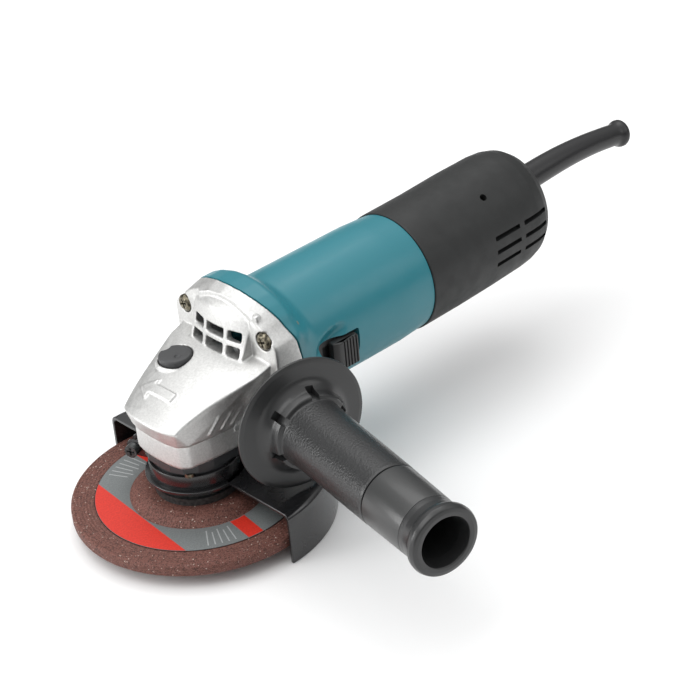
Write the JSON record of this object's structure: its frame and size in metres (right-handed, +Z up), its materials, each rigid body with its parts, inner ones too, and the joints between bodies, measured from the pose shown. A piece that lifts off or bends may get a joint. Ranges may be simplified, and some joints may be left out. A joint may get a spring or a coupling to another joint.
{
  "type": "angle grinder",
  "caption": "Small corded angle grinder with a grinding wheel, half wheel guard, screw-in side handle with hand flange, slide switch and shaft lock.",
  "frame": {"origin": "on the spindle axis at the grinding wheel's lower working face", "axes": "+X from the spindle to the tail of the tool, +Z up the spindle towards the gear head, -Y towards the side handle"},
  "size_m": [0.345, 0.2212, 0.1039],
  "materials": {
    "cast_aluminium": "satin cast",
    "screw_steel": "plated",
    "black_metal": "satin",
    "bright_steel": "bright",
    "bearing_steel": "polished",
    "bronze": "sintered",
    "gear_steel": "oiled",
    "black_steel": "blackened",
    "abrasive": "coarse",
    "label_paper": "paper",
    "guard_paint": "gloss",
    "button_plastic": "satin",
    "lamination": "laminated",
    "copper_wire": "varnished",
    "copper_bar": "turned",
    "inner_plastic": "moulded",
    "teal_plastic": "satin",
    "brass_sheet": "pressed",
    "carbon": "dry",
    "grey_plastic": "fine grain",
    "switch_plastic": "satin",
    "film_plastic": "gloss",
    "cord_rubber": "matt",
    "handle_plastic": "fine grain",
    "sleeve_plastic": "fine grain"
  },
  "bodies": {
    "housing": {"gear_housing": "cast_aluminium", "gear_housing_screws": "screw_steel", "bearing_box": "black_metal", "bearing_box_screws": "bright_steel", "bearing_retainer": "bright_steel", "spindle_bearing_outer": "bearing_steel", "spindle_bush": "bronze", "shaft_lock_spring": "bright_steel", "front_bearing_outer": "bearing_steel", "rear_bearing_outer": "bearing_steel", "fan_guide": "inner_plastic", "field_core": "lamination", "field_coils": "copper_wire", "motor_housing": "teal_plastic", "brush_holders": "brass_sheet", "carbon_brushes": "carbon", "brush_springs": "bright_steel", "rear_cover": "grey_plastic", "rear_cover_screw": "screw_steel", "power_switch": "inner_plastic", "suppressor_capacitor": "film_plastic", "cord_guard": "cord_rubber", "cord_clamp": "inner_plastic", "cord_clamp_screws": "bright_steel", "side_handle": "handle_plastic", "handle_sleeve": "sleeve_plastic", "handle_stud": "bright_steel"},
    "armature": {"armature_shaft": "bright_steel", "pinion_gear": "gear_steel", "armature_core": "lamination", "armature_windings": "copper_wire", "commutator": "copper_bar", "cooling_fan": "inner_plastic", "front_bearing_inner": "bearing_steel", "rear_bearing_inner": "bearing_steel"},
    "spindle": {"spindle": "bright_steel", "bevel_gear": "gear_steel", "spindle_bearing_inner": "bearing_steel", "inner_flange": "black_steel", "lock_nut": "black_steel", "grinding_wheel": "abrasive", "wheel_label": "label_paper"},
    "guard": {"wheel_guard": "guard_paint", "guard_clamp_screw": "bright_steel", "guard_clamp_nut": "bright_steel"},
    "shaft_lock": {"shaft_lock_button": "button_plastic", "shaft_lock_pin": "bright_steel"},
    "slide_switch": {"slide_switch": "switch_plastic", "switch_rod": "inner_plastic"}
  },
  "joints": [
    {"name": "armature_spin", "type": "hinge", "parent": "housing", "child": "armature", "pos_m": [0.08, 0, 0.0605], "axis": [1, 0, 0], "continuous": true},
    {"name": "spindle_spin", "type": "hinge", "parent": "housing", "child": "spindle", "pos_m": [0, 0, 0.03], "axis": [0, 0, 1], "continuous": true},
    {"name": "guard_turn", "type": "hinge", "parent": "housing", "child": "guard", "pos_m": [0, 0, 0.022], "axis": [0, 0, 1], "range_deg": [-90, 90]},
    {"name": "shaft_lock_press", "type": "slide", "parent": "housing", "child": "shaft_lock", "axis": [0, 0, -1], "range_m": [0, 0.0024], "stiffness_N_per_m": 600, "springref_m": -0.002, "deforming": ["shaft_lock_spring"]},
    {"name": "slide_switch_travel", "type": "slide", "parent": "housing", "child": "slide_switch", "axis": [-1, 0, 0], "range_m": [0, 0.0055]}
  ],
  "couplings": [
    {"joint": "spindle_spin", "follows": "armature_spin", "ratio": 0.27027}
  ]
}
